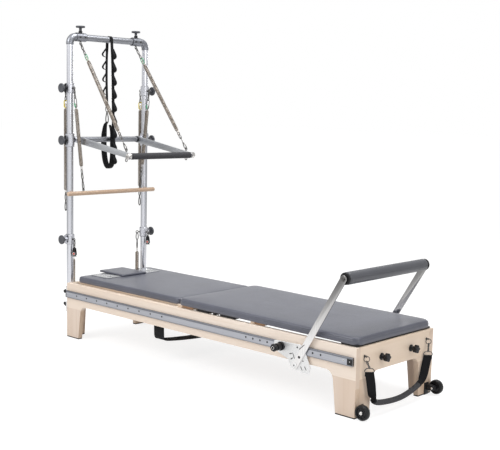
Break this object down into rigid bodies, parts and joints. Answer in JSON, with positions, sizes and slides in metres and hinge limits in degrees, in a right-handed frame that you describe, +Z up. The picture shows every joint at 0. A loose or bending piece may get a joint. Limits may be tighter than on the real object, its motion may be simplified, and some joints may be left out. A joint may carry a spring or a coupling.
{
  "type": "pilates reformer with tower",
  "caption": "Wooden pilates reformer with a sliding padded carriage, a long mat, a folding padded footbar and a tower with springs, a push-through bar and a roll-down bar.",
  "frame": {"origin": "bottom centre of the whole object's box, on the floor", "axes": "+Z up, +X from the tower at the head end to the wheels at the foot end, +Y across to the far side"},
  "size_m": [2.5, 0.8452, 2.007],
  "materials": {
    "maple": "satin",
    "plywood": "matte",
    "dowel": "satin",
    "vinyl": "satin",
    "aluminium_tube": "satin",
    "cast_grey": "satin",
    "polished_aluminium": "polished",
    "steel": "satin",
    "spring_steel": "satin",
    "black_plastic": "satin",
    "webbing": "matte",
    "foam": "matte",
    "rubber": "matte"
  },
  "bodies": {
    "frame": {"side_panel_near": "maple", "side_panel_far": "maple", "head_board": "maple", "foot_board": "maple", "head_foot_pad_near": "rubber", "head_foot_pad_far": "rubber", "wheel_bracket_near": "black_plastic", "wheel_bracket_far": "black_plastic", "footbar_track_near": "aluminium_tube", "footbar_track_far": "aluminium_tube", "carriage_runner_near": "aluminium_tube", "carriage_runner_far": "aluminium_tube", "post_near": "aluminium_tube", "post_far": "aluminium_tube", "post_clamp_near": "steel", "post_clamp_far": "steel", "top_bar": "cast_grey", "mid_collar_near": "cast_grey", "mid_collar_far": "cast_grey", "safety_strap": "webbing", "spring_bar": "steel", "under_strap": "webbing", "push_spring_near": "spring_steel", "push_spring_far": "spring_steel"},
    "carriage": {"carriage_board": "plywood", "carriage_pad": "vinyl", "carriage_springs": "spring_steel", "shoulder_plate_near": "steel", "shoulder_plate_far": "steel"},
    "head_axle": {"axle_head": "black_plastic"},
    "foot_axle": {"axle_foot": "black_plastic"},
    "mat": {"long_mat": "vinyl", "long_mat_board": "plywood"},
    "head_cushion": {"headrest": "vinyl"},
    "footbar_carrier": {"footbar_plate_near": "steel", "footbar_plate_far": "steel"},
    "lock_near": {"lock_knob_near": "black_plastic"},
    "lock_far": {"lock_knob_far": "black_plastic"},
    "footbar": {"footbar_frame": "polished_aluminium", "footbar_pad": "vinyl"},
    "push_bar": {"push_frame": "aluminium_tube", "push_grip": "foam"},
    "upper_collars": {"upper_collar_near": "cast_grey", "upper_collar_far": "cast_grey"},
    "roll_down": {"roll_down_bar": "dowel", "roll_down_spring_near": "spring_steel", "roll_down_spring_far": "spring_steel"},
    "leg_near": {"leg_spring_near": "spring_steel"},
    "leg_far": {"leg_spring_far": "spring_steel"},
    "collar_near": {"lower_collar_near": "cast_grey"},
    "collar_far": {"lower_collar_far": "cast_grey"},
    "arm_near": {"lower_spring_near": "spring_steel"},
    "arm_far": {"lower_spring_far": "spring_steel"},
    "block_near": {"pulley_near": "black_plastic"},
    "block_far": {"pulley_far": "black_plastic"},
    "hand_strap": {"foot_strap": "webbing"},
    "star_near": {"star_knob_near": "black_plastic"},
    "star_far": {"star_knob_far": "black_plastic"},
    "wheel_near": {"transport_wheel_near": "rubber"},
    "wheel_far": {"transport_wheel_far": "rubber"}
  },
  "joints": [
    {"name": "carriage_slide", "type": "slide", "parent": "frame", "child": "carriage", "axis": [1, 0, 0], "range_m": [0, 0.9]},
    {"name": "axle_spin_head", "type": "hinge", "parent": "carriage", "child": "head_axle", "pos_m": [-0.97752, 0, 0.3223], "axis": [0, 1, 0], "range_deg": [-5, 2360]},
    {"name": "axle_spin_foot", "type": "hinge", "parent": "carriage", "child": "foot_axle", "pos_m": [-0.25252, 0, 0.3223], "axis": [0, 1, 0], "range_deg": [-5, 2360]},
    {"name": "long_mat_lift", "type": "slide", "parent": "carriage", "child": "mat", "axis": [0, 0, 1], "range_m": [0, 0.15]},
    {"name": "headrest_tilt", "type": "hinge", "parent": "carriage", "child": "head_cushion", "pos_m": [-0.89752, 0, 0.4053], "axis": [0, 1, 0], "range_deg": [0, 35]},
    {"name": "footbar_slide", "type": "slide", "parent": "frame", "child": "footbar_carrier", "axis": [1, 0, 0], "range_m": [-0.258, 0.258]},
    {"name": "lock_pull_near", "type": "slide", "parent": "footbar_carrier", "child": "lock_near", "axis": [0, -1, 0], "range_m": [0, 0.01], "stiffness_N_per_m": 1200, "springref_m": -0.004},
    {"name": "lock_pull_far", "type": "slide", "parent": "footbar_carrier", "child": "lock_far", "axis": [0, 1, 0], "range_m": [0, 0.01], "stiffness_N_per_m": 1200, "springref_m": -0.004},
    {"name": "footbar_fold", "type": "hinge", "parent": "footbar_carrier", "child": "footbar", "pos_m": [0.79748, 0, 0.203], "axis": [0, 1, 0], "range_deg": [-45, 54]},
    {"name": "push_bar_swing", "type": "hinge", "parent": "frame", "child": "push_bar", "pos_m": [-1.18152, 0, 1.283], "axis": [0, 1, 0], "range_deg": [-70, 35], "stiffness_Nm_per_rad": 14.5, "springref_deg": -34.38, "deforming": ["push_spring_near", "push_spring_far"]},
    {"name": "upper_collars_slide", "type": "slide", "parent": "frame", "child": "upper_collars", "axis": [0, 0, 1], "range_m": [-0.15, 0]},
    {"name": "roll_down_swing", "type": "hinge", "parent": "upper_collars", "child": "roll_down", "pos_m": [-1.13602, 0, 1.61], "axis": [0, 1, 0], "range_deg": [-20, 0]},
    {"name": "leg_spring_swing_near", "type": "hinge", "parent": "upper_collars", "child": "leg_near", "pos_m": [-1.22702, -0.312, 1.61], "axis": [0, 1, 0], "range_deg": [0, 40]},
    {"name": "leg_spring_swing_far", "type": "hinge", "parent": "upper_collars", "child": "leg_far", "pos_m": [-1.22702, 0.312, 1.61], "axis": [0, 1, 0], "range_deg": [0, 40]},
    {"name": "lower_collar_slide_near", "type": "slide", "parent": "frame", "child": "collar_near", "axis": [0, 0, 1], "range_m": [-0.1, 0.2]},
    {"name": "lower_collar_slide_far", "type": "slide", "parent": "frame", "child": "collar_far", "axis": [0, 0, 1], "range_m": [-0.1, 0.2]},
    {"name": "lower_spring_swing_near", "type": "hinge", "parent": "collar_near", "child": "arm_near", "pos_m": [-1.20075, -0.27076, 0.64], "axis": [0.9063, 0.4226, 0], "range_deg": [0, 30]},
    {"name": "lower_spring_swing_far", "type": "hinge", "parent": "collar_far", "child": "arm_far", "pos_m": [-1.20075, 0.27076, 0.64], "axis": [-0.9063, 0.4226, 0], "range_deg": [0, 30]},
    {"name": "pulley_swing_near", "type": "hinge", "parent": "collar_near", "child": "block_near", "pos_m": [-1.13602, -0.312, 0.64], "axis": [0, 1, 0], "range_deg": [-50, 3]},
    {"name": "pulley_swing_far", "type": "hinge", "parent": "collar_far", "child": "block_far", "pos_m": [-1.13602, 0.312, 0.64], "axis": [0, 1, 0], "range_deg": [-50, 3]},
    {"name": "foot_strap_swing", "type": "hinge", "parent": "frame", "child": "hand_strap", "pos_m": [1.18398, 0, 0.307], "axis": [0, 1, 0], "range_deg": [-70, 0]},
    {"name": "star_knob_turn_near", "type": "hinge", "parent": "frame", "child": "star_near", "pos_m": [1.17048, -0.13, 0.281], "axis": [1, 0, 0], "continuous": true},
    {"name": "star_knob_turn_far", "type": "hinge", "parent": "frame", "child": "star_far", "pos_m": [1.17048, 0.13, 0.281], "axis": [1, 0, 0], "continuous": true},
    {"name": "transport_wheel_spin_near", "type": "hinge", "parent": "frame", "child": "wheel_near", "pos_m": [1.21098, -0.315, 0.0415], "axis": [0, 1, 0], "continuous": true},
    {"name": "transport_wheel_spin_far", "type": "hinge", "parent": "frame", "child": "wheel_far", "pos_m": [1.21098, 0.315, 0.0415], "axis": [0, 1, 0], "continuous": true}
  ],
  "couplings": [
    {"joint": "axle_spin_head", "follows": "carriage_slide", "rad_per_m": 45.455},
    {"joint": "axle_spin_foot", "follows": "carriage_slide", "rad_per_m": 45.455}
  ]
}
